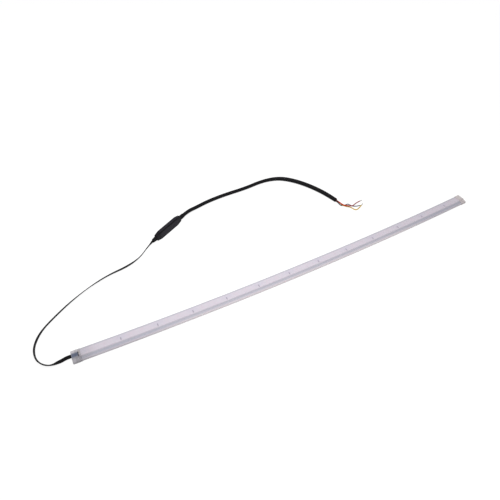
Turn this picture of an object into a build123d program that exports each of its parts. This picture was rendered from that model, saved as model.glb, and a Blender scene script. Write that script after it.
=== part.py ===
from build123d import *

import os
from math import atan2, cos, degrees, floor, radians, sin, tan

os.makedirs("parts", exist_ok=True)

# Flexible daytime running light: a silicone light strip on foam tape, a three-core ribbon, an in-line
# controller in a two-part box, and a sheathed supply lead that ends in three stripped wires.
# Millimetres. The origin is on the taped underside at the middle of the strip. +X runs along the strip
# away from the ribbon, +Y across it from the mounting flange to the light body, and +Z is up.

# Strip as a whole
strip_length = 600.0  # over both caps, along the bow
bow_radius = 5400.0  # the strip lies in a slight bow about a centre on its +Y side

# Foam tape under the strip
tape_width = 12.0
tape_thickness = 0.6
tape_setback = 1.0  # from each cap

# Three-core ribbon
core_count = 3
core_diameter = 1.8
core_pitch = 1.7
tail_length = 9.5  # ribbon inside the cap and the sleeve
tail_clearance = 0.2  # above and below the ribbon in the channel
slot_clearance = 0.1  # round the ribbon in the cap's slot
ribbon_tube_diameter = 3.0  # round tube of the ribbon's own section area

# Flexible LED circuit
led_board_width = 8.0
led_board_thickness = 0.2
led_board_side_clearance = 0.3
led_board_end_clearance = 0.2
led_length = 2.8  # along the strip
led_width = 3.5  # across the strip
led_height = 0.8
led_rim = 0.4  # frame round the chip's window
led_window_depth = 0.2
segment_length = 46.0  # from one dropping resistor to the next
leds_per_segment = 6
led_clearance = 0.5  # between the chips and what stands at the board's ends
first_resistor = 58.2  # from the cable end of the strip
resistor_length = 3.2  # across the strip
resistor_width = 1.6  # along the strip
resistor_height = 0.55

# Solder joints between the ribbon's cores and the circuit
joint_length = 3.8
joint_width = 1.4
joint_height = 0.5
joint_round = 0.25
strand_diameter = 0.9

# Silicone sleeve
channel_floor = 0.7
channel_roof = 1.5
channel_side_wall = 0.7
flange_width = 5.6
flange_height = 3.0
slope_width = 2.0  # of the slope from the light body down to the flange
body_edge_radius = 0.8
shoulder_radius = 0.6
root_radius = 1.5
flange_edge_radius = 0.8
base_edge_radius = 0.4

# Moulded caps over the sleeve's ends
cap_wall = 0.5
socket_clearance = 0.1
cap_edge_chamfer = 0.5
cable_cap_length = 11.0
cable_cap_floor = 4.0  # solid end that grips the ribbon
blind_cap_length = 8.6
blind_cap_floor = 2.0

# Controller board and its parts
board_length = 33.4
board_width = 9.8
board_thickness = 1.0
board_edge_clearance = 0.5
component_space = 2.1  # from the board to the lid
core_end_diameter = 0.8  # stripped cores that are soldered to the board
core_end_overlap = 2.5  # of each core on the board
chip_length = 4.9
chip_width = 3.9
chip_height = 1.5
chip_pin_count = 4  # on each side
chip_pin_pitch = 1.27
chip_pin_width = 0.4
chip_pin_reach = 0.8
chip_pin_height = 0.6
transistor_length = 2.9
transistor_width = 1.6
transistor_height = 1.1
transistor_spacing = 4.2
transistor_gap = 1.15  # from the row of small resistors
diode_length = 4.3
diode_width = 2.6
diode_height = 1.6
diode_lead_length = 0.6
diode_lead_height = 0.5
diode_inset = 7.2  # from the lead's end of the board to the diode's middle
capacitor_length = 3.2
capacitor_width = 1.6
capacitor_height = 1.2
capacitor_spacing = 4.0
capacitor_step = 4.3  # from the diode's middle to the capacitors
chip_resistor_length = 2.0
chip_resistor_width = 1.2
chip_resistor_height = 0.5
chip_resistor_pitch = 1.9
chip_resistor_count = 3
chip_resistor_gap = 0.95  # from the chip

# Controller box
box_wall = 1.0
tray_floor = 1.4
lid_thickness = 1.4
box_end_clearance = 0.5  # between the board's ends and the tapered part of the box
box_taper_length = 8.1
box_end_height = 7.9
box_end_slope = 0.6  # that each broad face falls towards the ends
taper_round = 3.0
end_round = 0.8
box_edge_chamfer = 0.5
seam_chamfer = 0.35
post_diameter = 2.0
post_height = 0.6
post_end_inset = 3.0  # of each post from the board's ends
post_side_inset = 1.6  # of each post from the board's sides
lid_rib_length = 28.0
lid_rib_width = 0.6
lid_rib_height = 0.8
lid_rib_clearance = 0.1

# Boots at the controller's two ends
boot_length = 7.0
boot_root_wall = 0.5
boot_tip_wall = 0.4
boot_corner_radius = 0.8
boot_flange_thickness = 1.2
boot_lip = 0.6
boot_clearance = 0.1

# Supply lead and its stripped wires
lead_diameter = 5.5
wire_diameter = 1.5
wire_spread = 0.92  # of the three wires from the middle of the sheath
bare_tip_diameter = 1.0
bare_tip_length = 4.0
table_clearance = 0.05  # under a cord that lies on the table
cord_sides = 8  # flats that stand for the round section of a cord or a strand
wire_sides = 6  # the same for the three thin wires
tail_sides = 12  # and for each core of the ribbon's tail
arc_share = 0.45  # of the shorter run beside a corner, used by the corner's arc

# Where the controller lies
controller_place = (-123.7, 154.3)
controller_heading = 26.9  # degrees from +X

# Sizes that follow from those above
channel_width = led_board_width + 2 * led_board_side_clearance
channel_height = core_diameter + 2 * tail_clearance
body_width = channel_width + 2 * channel_side_wall
body_height = channel_floor + channel_height + channel_roof
strip_width = body_width + flange_width
ribbon_width = core_pitch * (core_count - 1) + core_diameter
sleeve_base = tape_thickness
sleeve_top = sleeve_base + body_height
flange_top = sleeve_base + flange_height
body_side = strip_width / 2
flange_side = -strip_width / 2
shoulder = body_side - body_width
light_center = body_side - body_width / 2
channel_base = sleeve_base + channel_floor
channel_middle = channel_base + channel_height / 2
led_board_top = channel_base + led_board_thickness
led_board_start = tail_length + led_board_end_clearance
led_board_end = strip_length - blind_cap_floor - led_board_end_clearance
led_pitch = segment_length / leds_per_segment
led_margin = led_length / 2 + led_clearance
led_limit = led_board_start + joint_length + led_margin
leds_before = floor((first_resistor - led_pitch / 2 - led_limit) / led_pitch)
first_led = first_resistor - led_pitch / 2 - leds_before * led_pitch
led_count = floor((led_board_end - led_margin - first_led) / led_pitch) + 1
led_places = [first_led + led_pitch * i for i in range(led_count)]
resistor_count = floor((led_board_end - led_margin - first_resistor) / segment_length) + 1
resistor_places = [first_resistor + segment_length * i for i in range(resistor_count)]

box_height = board_width + 2 * (board_edge_clearance + box_wall)
box_straight = board_length + 2 * box_end_clearance
box_length = box_straight + 2 * box_taper_length
board_face = -core_end_diameter / 2
board_back = board_face - board_thickness
cavity_floor = board_back - post_height
tray_back = cavity_floor - tray_floor
lid_seat = board_face + component_space
lid_front = lid_seat + lid_thickness
taper_angle = atan2((box_height - box_end_height) / 2, box_taper_length)
end_room = box_end_height / 2 + box_wall * tan(taper_angle) - box_wall / cos(taper_angle)
boot_flange_height = 2 * (end_room - boot_clearance)
boot_neck_height = boot_flange_height - 2 * boot_lip
boot_neck_thickness = 2 * (lid_seat - boot_clearance)
boot_flange_face = box_length / 2 - box_wall - boot_flange_thickness
core_end_length = boot_flange_face - board_length / 2 + core_end_overlap
boot_tip = box_length / 2 + boot_length
wire_floor = wire_diameter / 2 + table_clearance
diode_place = board_length / 2 - diode_inset
capacitor_place = diode_place - capacitor_step
chip_resistor_place = -chip_length / 2 - chip_resistor_gap - chip_resistor_length / 2
transistor_place = chip_resistor_place - chip_resistor_length / 2 - transistor_gap - transistor_length / 2


def station(along):
    """Plane across the strip, x across, y up and z along, at a length from the cable end."""
    turn = (along - strip_length / 2) / bow_radius
    middle = (bow_radius * sin(turn), bow_radius * (1 - cos(turn)), 0)
    return Plane(origin=middle, x_dir=(-sin(turn), cos(turn), 0), z_dir=(cos(turn), sin(turn), 0))


def on_strip(places, height):
    """Locations on the middle of the light body, at a height above the table."""
    return [station(along).location * Location((light_center, height, 0)) for along in places]


def bend_radii(route):
    """The largest arc that each corner of a route has room for."""
    radii = []
    for before, corner, after in zip(route, route[1:], route[2:]):
        half_turn = radians((corner - before).get_angle(after - corner)) / 2
        shorter_run = min((corner - before).length, (after - corner).length)
        radii.append(arc_share * shorter_run / tan(half_turn))
    return radii


bow_axis = Axis((0, bow_radius, 0), (0, 0, 1))
degrees_per_mm = degrees(1 / bow_radius)
cable_end = station(cable_cap_floor)  # where the sleeve meets the floor of the cap's socket
blind_end = station(strip_length - blind_cap_floor)

# x along the box, y up, z out through the lid, with the cores' line as the middle
heading = radians(controller_heading)
box_axis = Vector(cos(heading), sin(heading), 0)
controller = Plane(
    origin=(*controller_place, box_height / 2),
    x_dir=box_axis,
    z_dir=(sin(heading), -cos(heading), 0),
)
lid_axis = Axis(controller.origin, controller.z_dir)
# seen from above: x along the box, y out through the lid
box_plan = Plane(origin=controller.origin, x_dir=box_axis, z_dir=(0, 0, -1))

# Outer outline of the silicone section, x across the strip and y up: light body, slope and thin flange
with BuildSketch() as sleeve_outline:
    with BuildLine():
        FilletPolyline(
            (flange_side, sleeve_base),
            (body_side, sleeve_base),
            (body_side, sleeve_top),
            (shoulder, sleeve_top),
            (shoulder - slope_width, flange_top),
            (flange_side, flange_top),
            radius=[
                base_edge_radius,
                base_edge_radius,
                body_edge_radius,
                shoulder_radius,
                root_radius,
                flange_edge_radius,
            ],
            close=True,
        )
    make_face()

# Side view of the controller box: full height along the board, tapering to both ends
with BuildSketch() as box_outline:
    with BuildLine():
        FilletPolyline(
            (-box_length / 2, -box_end_height / 2),
            (-box_straight / 2, -box_height / 2),
            (box_straight / 2, -box_height / 2),
            (box_length / 2, -box_end_height / 2),
            (box_length / 2, box_end_height / 2),
            (box_straight / 2, box_height / 2),
            (-box_straight / 2, box_height / 2),
            (-box_length / 2, box_end_height / 2),
            radius=[end_round, taper_round, taper_round, end_round] * 2,
            close=True,
        )
    make_face()

# What is cut off the two broad faces of the box, so that it gets thinner towards its ends
with BuildSketch() as end_slopes:
    for face, outward in ((lid_front, 1), (tray_back, -1)):
        with BuildLine():
            Polyline(
                (box_straight / 2, face),
                (box_length / 2, face - outward * box_end_slope),
                (box_length / 2 + box_wall, face - outward * box_end_slope),
                (box_length / 2 + box_wall, face + outward * box_wall),
                (box_straight / 2, face + outward * box_wall),
                close=True,
            )
        make_face()
    mirror(about=Plane.YZ)

# Silicone sleeve, extruded with its channel and bent to the bow
with BuildPart() as light_sleeve:
    with BuildSketch(cable_end):
        add(sleeve_outline.sketch)
        with Locations((light_center, channel_middle)):
            Rectangle(channel_width, channel_height, mode=Mode.SUBTRACT)
    sleeve_length = strip_length - cable_cap_floor - blind_cap_floor
    revolve(axis=bow_axis, revolution_arc=sleeve_length * degrees_per_mm)
light_sleeve.part.label = "light_sleeve"
export_step(light_sleeve.part, "parts/light_sleeve.step")

# Cap at the cable end: a socket over the sleeve, with a solid end that the ribbon passes through
with BuildPart() as cable_end_cap:
    with BuildSketch(cable_end.offset(-cable_cap_floor)):
        add(sleeve_outline.sketch)
        offset(amount=cap_wall)
    extrude(amount=cable_cap_length)
    chamfer(faces().sort_by(Axis.X)[0].edges(), length=cap_edge_chamfer)
    with BuildSketch(cable_end):
        add(sleeve_outline.sketch)
        offset(amount=socket_clearance)
    extrude(amount=cable_cap_length - cable_cap_floor, mode=Mode.SUBTRACT)
    with BuildSketch(cable_end):
        with Locations((light_center, channel_middle)):
            SlotOverall(ribbon_width + 2 * slot_clearance, core_diameter + 2 * slot_clearance)
    extrude(amount=-cable_cap_floor, mode=Mode.SUBTRACT)
cable_end_cap.part.label = "cable_end_cap"
export_step(cable_end_cap.part, "parts/cable_end_cap.step")

# Closed cap at the far end
with BuildPart() as blind_end_cap:
    with BuildSketch(blind_end.offset(blind_cap_floor)):
        add(sleeve_outline.sketch)
        offset(amount=cap_wall)
    extrude(amount=-blind_cap_length)
    chamfer(faces().sort_by(Axis.X)[-1].edges(), length=cap_edge_chamfer)
    with BuildSketch(blind_end):
        add(sleeve_outline.sketch)
        offset(amount=socket_clearance)
    extrude(amount=blind_cap_floor - blind_cap_length, mode=Mode.SUBTRACT)
blind_end_cap.part.label = "blind_end_cap"
export_step(blind_end_cap.part, "parts/blind_end_cap.step")

# Foam tape on the underside, between the caps
with BuildPart() as mounting_tape:
    with BuildSketch(station(cable_cap_length + tape_setback)):
        with Locations((0, tape_thickness / 2)):
            Rectangle(tape_width, tape_thickness)
    tape_length = strip_length - cable_cap_length - blind_cap_length - 2 * tape_setback
    revolve(axis=bow_axis, revolution_arc=tape_length * degrees_per_mm)
mounting_tape.part.label = "mounting_tape"
export_step(mounting_tape.part, "parts/mounting_tape.step")

# Flexible circuit on the floor of the channel
with BuildPart() as led_board:
    with BuildSketch(station(led_board_start)):
        with Locations((light_center, channel_base + led_board_thickness / 2)):
            Rectangle(led_board_width, led_board_thickness)
    revolve(axis=bow_axis, revolution_arc=(led_board_end - led_board_start) * degrees_per_mm)
led_board.part.label = "led_board"
export_step(led_board.part, "parts/led_board.step")

# Light chips, white and amber in turn, each with a sunk window
with BuildPart() as white_leds:
    with Locations(*on_strip(led_places[0::2], led_board_top + led_height / 2)):
        Box(led_width, led_height, led_length)
    with Locations(*on_strip(led_places[0::2], led_board_top + led_height - led_window_depth / 2)):
        Box(led_width - 2 * led_rim, led_window_depth, led_length - 2 * led_rim, mode=Mode.SUBTRACT)
white_leds.part.label = "white_leds"
export_step(white_leds.part, "parts/white_leds.step")

with BuildPart() as amber_leds:
    with Locations(*on_strip(led_places[1::2], led_board_top + led_height / 2)):
        Box(led_width, led_height, led_length)
    with Locations(*on_strip(led_places[1::2], led_board_top + led_height - led_window_depth / 2)):
        Box(led_width - 2 * led_rim, led_window_depth, led_length - 2 * led_rim, mode=Mode.SUBTRACT)
amber_leds.part.label = "amber_leds"
export_step(amber_leds.part, "parts/amber_leds.step")

# Dropping resistors, one at the end of each segment
with BuildPart() as dropping_resistors:
    with Locations(*on_strip(resistor_places, led_board_top + resistor_height / 2)):
        Box(resistor_length, resistor_height, resistor_width)
dropping_resistors.part.label = "dropping_resistors"
export_step(dropping_resistors.part, "parts/dropping_resistors.step")

# End of the ribbon inside the cap and the sleeve
with BuildPart() as ribbon_tail:
    with BuildSketch(cable_end.offset(-cable_cap_floor)):
        with Locations((light_center, channel_middle)):
            with GridLocations(core_pitch, 0, core_count, 1):
                RegularPolygon(core_diameter / 2, tail_sides)
    extrude(amount=tail_length)
ribbon_tail.part.label = "ribbon_tail"
export_step(ribbon_tail.part, "parts/ribbon_tail.step")

# Stripped strands with their solder, from the ribbon's end on to the circuit
with BuildPart() as solder_joints:
    tail_face = cable_end.offset(tail_length - cable_cap_floor)
    with BuildSketch(tail_face):
        with Locations((light_center, led_board_top + strand_diameter / 2)):
            with GridLocations(core_pitch, 0, core_count, 1):
                RegularPolygon(strand_diameter / 2, cord_sides)
    extrude(amount=led_board_end_clearance + joint_length)
    with BuildSketch(tail_face.offset(led_board_end_clearance)):
        with Locations((light_center, led_board_top + joint_height / 2)):
            with GridLocations(core_pitch, 0, core_count, 1):
                Trapezoid(joint_width, joint_height, degrees(atan2(joint_height, joint_round)))
    extrude(amount=joint_length)
solder_joints.part.label = "solder_joints"
export_step(solder_joints.part, "parts/solder_joints.step")

# Tray of the controller box: open towards the lid, with posts for the board and a notch at each end
with BuildPart() as controller_tray:
    with BuildSketch(controller.offset(tray_back)):
        add(box_outline.sketch)
    extrude(amount=lid_seat - tray_back)
    chamfer(faces().sort_by(lid_axis)[0].edges(), length=box_edge_chamfer)
    chamfer(faces().sort_by(lid_axis)[-1].edges(), length=seam_chamfer)
    with BuildSketch(controller.offset(cavity_floor)):
        add(box_outline.sketch)
        offset(amount=-box_wall)
    extrude(amount=lid_seat - cavity_floor, mode=Mode.SUBTRACT)
    with BuildSketch(controller.offset(-boot_neck_thickness / 2 - boot_clearance)):
        Rectangle(box_length + 2 * box_wall, boot_neck_height + 2 * boot_clearance)
    extrude(amount=boot_neck_thickness + 2 * boot_clearance + lid_thickness, mode=Mode.SUBTRACT)
    with BuildSketch(controller.offset(cavity_floor)):
        with GridLocations(board_length - 2 * post_end_inset, board_width - 2 * post_side_inset, 2, 2):
            Circle(post_diameter / 2)
    extrude(amount=post_height)
    with BuildSketch(box_plan):
        add(end_slopes.sketch)
    extrude(amount=box_height, both=True, mode=Mode.SUBTRACT)
controller_tray.part.label = "controller_tray"
export_step(controller_tray.part, "parts/controller_tray.step")

# Lid of the controller box, with two ribs that locate it between the tray's long walls
with BuildPart() as controller_lid:
    with BuildSketch(controller.offset(lid_seat)):
        add(box_outline.sketch)
    extrude(amount=lid_thickness)
    chamfer(faces().sort_by(lid_axis)[-1].edges(), length=box_edge_chamfer)
    chamfer(faces().sort_by(lid_axis)[0].edges(), length=seam_chamfer)
    rib_spacing = box_height - 2 * (box_wall + lid_rib_clearance) - lid_rib_width
    with BuildSketch(controller.offset(lid_seat)):
        with GridLocations(0, rib_spacing, 1, 2):
            Rectangle(lid_rib_length, lid_rib_width)
    extrude(amount=-lid_rib_height)
    with BuildSketch(box_plan):
        add(end_slopes.sketch)
    extrude(amount=box_height, both=True, mode=Mode.SUBTRACT)
controller_lid.part.label = "controller_lid"
export_step(controller_lid.part, "parts/controller_lid.step")

# Board on the tray's posts
with BuildPart() as controller_board:
    with BuildSketch(controller.offset(board_back)):
        Rectangle(board_length, board_width)
    extrude(amount=board_thickness)
controller_board.part.label = "controller_board"
export_step(controller_board.part, "parts/controller_board.step")

# Control chip with a row of pins along each side
with BuildPart() as control_chip:
    with BuildSketch(controller.offset(board_face)):
        Rectangle(chip_length, chip_width)
    extrude(amount=chip_height)
    with BuildSketch(controller.offset(board_face)):
        with GridLocations(chip_pin_pitch, chip_width + chip_pin_reach, chip_pin_count, 2):
            Rectangle(chip_pin_width, chip_pin_reach)
    extrude(amount=chip_pin_height)
control_chip.part.label = "control_chip"
export_step(control_chip.part, "parts/control_chip.step")

# Pair of transistors that switch the white and the amber chips
with BuildPart() as power_transistors:
    with BuildSketch(controller.offset(board_face)):
        with Locations((transistor_place, 0)):
            with GridLocations(0, transistor_spacing, 1, 2):
                Rectangle(transistor_length, transistor_width)
    extrude(amount=transistor_height)
power_transistors.part.label = "power_transistors"
export_step(power_transistors.part, "parts/power_transistors.step")

# Diode in the supply, with a flat lead at each end
with BuildPart() as input_diode:
    with BuildSketch(controller.offset(board_face)):
        with Locations((diode_place, 0)):
            Rectangle(diode_length, diode_width)
    extrude(amount=diode_height)
    with BuildSketch(controller.offset(board_face)):
        with Locations((diode_place, 0)):
            Rectangle(diode_length + 2 * diode_lead_length, diode_width / 2)
    extrude(amount=diode_lead_height)
input_diode.part.label = "input_diode"
export_step(input_diode.part, "parts/input_diode.step")

# Capacitors across the supply
with BuildPart() as filter_capacitors:
    with BuildSketch(controller.offset(board_face)):
        with Locations((capacitor_place, 0)):
            with GridLocations(0, capacitor_spacing, 1, 2):
                Rectangle(capacitor_width, capacitor_length)
    extrude(amount=capacitor_height)
filter_capacitors.part.label = "filter_capacitors"
export_step(filter_capacitors.part, "parts/filter_capacitors.step")

# Row of small resistors beside the chip
with BuildPart() as chip_resistors:
    with BuildSketch(controller.offset(board_face)):
        with Locations((chip_resistor_place, 0)):
            with GridLocations(0, chip_resistor_pitch, 1, chip_resistor_count):
                Rectangle(chip_resistor_length, chip_resistor_width)
    extrude(amount=chip_resistor_height)
chip_resistors.part.label = "chip_resistors"
export_step(chip_resistors.part, "parts/chip_resistors.step")

# Boot on the ribbon: a flange inside the box, a neck in the notch and a tapered sleeve outside
with BuildPart() as ribbon_boot:
    toward_ribbon = Plane(origin=controller.origin, x_dir=(0, 0, 1), z_dir=-box_axis)
    with BuildSketch(toward_ribbon.offset(boot_flange_face)):
        Rectangle(boot_flange_height, boot_neck_thickness)
    extrude(amount=boot_flange_thickness)
    with BuildSketch(toward_ribbon.offset(box_length / 2 - box_wall)):
        Rectangle(boot_neck_height, boot_neck_thickness)
    extrude(amount=box_wall)
    with BuildSketch(toward_ribbon.offset(box_length / 2)):
        RectangleRounded(
            ribbon_width + 2 * boot_root_wall,
            boot_neck_thickness + 2 * boot_root_wall,
            boot_corner_radius,
        )
    with BuildSketch(toward_ribbon.offset(boot_tip)):
        RectangleRounded(
            ribbon_width + 2 * boot_tip_wall,
            core_diameter + 2 * boot_tip_wall,
            boot_corner_radius,
        )
    loft()
ribbon_boot.part.label = "ribbon_boot"
export_step(ribbon_boot.part, "parts/ribbon_boot.step")

# Boot on the lead, round outside the box
with BuildPart() as lead_boot:
    toward_lead = Plane(origin=controller.origin, x_dir=(0, 0, 1), z_dir=box_axis)
    with BuildSketch(toward_lead.offset(boot_flange_face)):
        Rectangle(boot_flange_height, boot_neck_thickness)
    extrude(amount=boot_flange_thickness)
    with BuildSketch(toward_lead.offset(box_length / 2 - box_wall)):
        Rectangle(boot_neck_height, boot_neck_thickness)
    extrude(amount=box_wall)
    with BuildSketch(toward_lead.offset(box_length / 2)):
        Circle(lead_diameter / 2 + boot_root_wall)
    with BuildSketch(toward_lead.offset(boot_tip)):
        Circle(lead_diameter / 2 + boot_tip_wall)
    loft()
lead_boot.part.label = "lead_boot"
export_step(lead_boot.part, "parts/lead_boot.step")

# Stripped cores between each boot and the board
with BuildPart() as ribbon_core_ends:
    with BuildSketch(toward_ribbon.offset(boot_flange_face)):
        with GridLocations(core_pitch, 0, core_count, 1):
            RegularPolygon(core_end_diameter / 2, cord_sides)
    extrude(amount=-core_end_length)
ribbon_core_ends.part.label = "ribbon_core_ends"
export_step(ribbon_core_ends.part, "parts/ribbon_core_ends.step")

with BuildPart() as lead_core_ends:
    with BuildSketch(toward_lead.offset(boot_flange_face)):
        with GridLocations(core_pitch, 0, core_count, 1):
            RegularPolygon(core_end_diameter / 2, cord_sides)
    extrude(amount=-core_end_length)
lead_core_ends.part.label = "lead_core_ends"
export_step(lead_core_ends.part, "parts/lead_core_ends.step")

# Ribbon between the strip and the controller, in a loose loop on the table
ribbon_exit = cable_end.from_local_coords(Vector(light_center, channel_middle, -cable_cap_floor))
ribbon_boot_end = controller.origin - box_axis * boot_tip
ribbon_route = [
    ribbon_exit,
    ribbon_exit - cable_end.z_dir * 10.3,
    ribbon_exit + Vector(-25.3, -1.3, 0.25),
    ribbon_exit + Vector(-36.3, 8.9, 0.25),
    ribbon_exit + Vector(-38.8, 23.9, 0.25),
    ribbon_exit + Vector(-33.8, 38.4, 0.25),
    ribbon_exit + Vector(-22.3, 52.6, 0.25),
    ribbon_exit + Vector(-3.3, 65.7, 0.25),
    ribbon_exit + Vector(18.7, 79.6, 0.25),
    ribbon_exit + Vector(45.7, 93.0, 0.25),
    ribbon_exit + Vector(73.7, 101.2, 0.25),
    ribbon_exit + Vector(99.7, 103.4, 0.25),
    ribbon_boot_end + Vector(-26.5, -17.3, -3.5),
    ribbon_boot_end - box_axis * 11.5,
    ribbon_boot_end,
]
with BuildPart() as ribbon_cable:
    with BuildLine() as ribbon_line:
        FilletPolyline(*ribbon_route, radius=bend_radii(ribbon_route))
    with BuildSketch(Plane(origin=ribbon_exit, z_dir=-cable_end.z_dir)):
        RegularPolygon(ribbon_tube_diameter / 2, cord_sides)
    sweep()
ribbon_cable.part.label = "ribbon_cable"
export_step(ribbon_cable.part, "parts/ribbon_cable.step")

# Sheathed lead, from the controller in a wide curve
lead_boot_end = controller.origin + box_axis * boot_tip
lead_lay = Vector(0, 0, lead_diameter / 2 + table_clearance - lead_boot_end.Z)
lead_route = [
    lead_boot_end,
    lead_boot_end + box_axis * 12.0,
    lead_boot_end + Vector(25.7, 10.3, -2.8),
    lead_boot_end + Vector(46.9, 15.5, 0) + lead_lay,
    lead_boot_end + Vector(76.9, 17.4, 0) + lead_lay,
    lead_boot_end + Vector(112.9, 16.4, 0) + lead_lay,
    lead_boot_end + Vector(142.9, 19.7, 0) + lead_lay,
    lead_boot_end + Vector(168.9, 14.3, 0) + lead_lay,
    lead_boot_end + Vector(186.9, -1.1, 0) + lead_lay,
    lead_boot_end + Vector(201.3, -21.4, 0) + lead_lay,
    lead_boot_end + Vector(212.3, -44.1, 0) + lead_lay,
    lead_boot_end + Vector(218.1, -61.3, 0) + lead_lay,
    lead_boot_end + Vector(221.8, -74.6, 0) + lead_lay,
]
with BuildPart() as lead_sheath:
    with BuildLine() as lead_line:
        FilletPolyline(*lead_route, radius=bend_radii(lead_route))
    with BuildSketch(Plane(origin=lead_boot_end, z_dir=box_axis)):
        RegularPolygon(lead_diameter / 2, cord_sides)
    sweep()
lead_sheath.part.label = "lead_sheath"
export_step(lead_sheath.part, "parts/lead_sheath.step")

# Three wires from the sheath's cut end: red on top, and black and yellow crossing below it
sheath_end = lead_route[-1]
lead_way = (lead_route[-1] - lead_route[-2]).normalized()
lead_side = Vector(0, 0, 1).cross(lead_way)
on_table = Vector(0, 0, wire_floor - sheath_end.Z)
red_start = sheath_end + Vector(0, 0, wire_spread)
black_start = sheath_end + (lead_side * -cos(radians(30)) + Vector(0, 0, -0.5)) * wire_spread
yellow_start = sheath_end + (lead_side * cos(radians(30)) + Vector(0, 0, -0.5)) * wire_spread
red_route = [
    red_start,
    red_start + lead_way * 5.0,
    sheath_end + Vector(2.1, -14.1, 1.7),
    sheath_end + Vector(7.5, -18.3, 1.4),
    sheath_end + Vector(14.1, -22.3, 0.6),
    sheath_end + Vector(24.7, -16.6, -1.6),
    sheath_end + Vector(33.3, -15.6, 0) + on_table,
]
black_route = [
    black_start,
    black_start + lead_way * 4.0,
    sheath_end + Vector(0.2, -11.8, 0) + on_table,
    sheath_end + Vector(6.2, -13.9, 0) + on_table,
    sheath_end + Vector(13.2, -12.1, 0) + on_table,
    sheath_end + Vector(15.1, -19.0, 0) + on_table,
    sheath_end + Vector(20.5, -22.9, 0) + on_table,
    sheath_end + Vector(26.8, -23.9, 0) + on_table,
]
yellow_route = [
    yellow_start,
    yellow_start + lead_way * 5.0,
    sheath_end + Vector(1.9, -10.9, -0.1),
    sheath_end + Vector(4.9, -17.1, -0.1),
    sheath_end + Vector(12.3, -20.1, 0) + on_table,
    sheath_end + Vector(15.0, -30.2, 0) + on_table,
    sheath_end + Vector(22.6, -28.3, -1.4),
    sheath_end + Vector(27.9, -26.0, -0.2),
]

with BuildPart() as red_wire:
    with BuildLine() as red_line:
        FilletPolyline(*red_route, radius=bend_radii(red_route))
    with BuildSketch(Plane(origin=red_start, z_dir=lead_way)):
        RegularPolygon(wire_diameter / 2, wire_sides)
    sweep()
red_wire.part.label = "red_wire"
export_step(red_wire.part, "parts/red_wire.step")

with BuildPart() as black_wire:
    with BuildLine() as black_line:
        FilletPolyline(*black_route, radius=bend_radii(black_route))
    with BuildSketch(Plane(origin=black_start, z_dir=lead_way)):
        RegularPolygon(wire_diameter / 2, wire_sides)
    sweep()
black_wire.part.label = "black_wire"
export_step(black_wire.part, "parts/black_wire.step")

with BuildPart() as yellow_wire:
    with BuildLine() as yellow_line:
        FilletPolyline(*yellow_route, radius=bend_radii(yellow_route))
    with BuildSketch(Plane(origin=yellow_start, z_dir=lead_way)):
        RegularPolygon(wire_diameter / 2, wire_sides)
    sweep()
yellow_wire.part.label = "yellow_wire"
export_step(yellow_wire.part, "parts/yellow_wire.step")

# Bare strands beyond each wire's insulation
with BuildPart() as red_wire_tip:
    with BuildSketch(Plane(origin=red_route[-1], z_dir=red_route[-1] - red_route[-2])):
        RegularPolygon(bare_tip_diameter / 2, cord_sides)
    extrude(amount=bare_tip_length)
red_wire_tip.part.label = "red_wire_tip"
export_step(red_wire_tip.part, "parts/red_wire_tip.step")

with BuildPart() as black_wire_tip:
    with BuildSketch(Plane(origin=black_route[-1], z_dir=black_route[-1] - black_route[-2])):
        RegularPolygon(bare_tip_diameter / 2, cord_sides)
    extrude(amount=bare_tip_length)
black_wire_tip.part.label = "black_wire_tip"
export_step(black_wire_tip.part, "parts/black_wire_tip.step")

with BuildPart() as yellow_wire_tip:
    with BuildSketch(Plane(origin=yellow_route[-1], z_dir=yellow_route[-1] - yellow_route[-2])):
        RegularPolygon(bare_tip_diameter / 2, cord_sides)
    extrude(amount=bare_tip_length)
yellow_wire_tip.part.label = "yellow_wire_tip"
export_step(yellow_wire_tip.part, "parts/yellow_wire_tip.step")

# Bend radii of the cords, and each tube's volume beside its section times its length
cords = [
    (ribbon_cable, ribbon_route, ribbon_line, ribbon_tube_diameter, cord_sides),
    (lead_sheath, lead_route, lead_line, lead_diameter, cord_sides),
    (red_wire, red_route, red_line, wire_diameter, wire_sides),
    (black_wire, black_route, black_line, wire_diameter, wire_sides),
    (yellow_wire, yellow_route, yellow_line, wire_diameter, wire_sides),
]
for tube, route, line, diameter, sides in cords:
    length = sum(edge.length for edge in line.edges())
    section_area = RegularPolygon(diameter / 2, sides, mode=Mode.PRIVATE).area
    print(tube.part.label, "length", round(length, 1))
    print("  radii", [round(radius, 1) for radius in bend_radii(route)])
    print("  volume", round(tube.part.volume, 1), "section x length", round(section_area * length, 1))
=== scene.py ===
from math import cos, pi, radians, sin

import bmesh
import bpy
from mathutils import Matrix, Vector


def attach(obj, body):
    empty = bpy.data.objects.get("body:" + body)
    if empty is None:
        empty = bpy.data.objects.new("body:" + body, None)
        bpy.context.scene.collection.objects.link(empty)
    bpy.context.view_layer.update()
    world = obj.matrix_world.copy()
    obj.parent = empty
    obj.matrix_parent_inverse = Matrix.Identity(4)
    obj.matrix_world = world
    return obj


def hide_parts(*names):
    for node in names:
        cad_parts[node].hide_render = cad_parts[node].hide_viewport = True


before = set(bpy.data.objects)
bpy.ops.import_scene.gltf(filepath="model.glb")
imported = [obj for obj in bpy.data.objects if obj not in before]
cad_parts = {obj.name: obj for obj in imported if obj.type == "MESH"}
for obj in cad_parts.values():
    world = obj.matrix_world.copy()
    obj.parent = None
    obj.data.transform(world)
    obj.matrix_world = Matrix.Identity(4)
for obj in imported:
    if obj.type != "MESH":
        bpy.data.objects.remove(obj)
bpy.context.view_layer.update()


# Flexible circuit of the strip: a thin white-lacquered copper laminate that lies on the floor of
# the sleeve's channel. It is etched and lacquered in long rolls and cut between two segments.
strip_length = 0.600
bow_radius = 5.400
light_center = 0.0028
segment_length = 0.046
first_resistor = 0.0582
lacquer_white = (232, 231, 226)
pad_copper = (196, 140, 92)
pad_half_length = 0.0011
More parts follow.
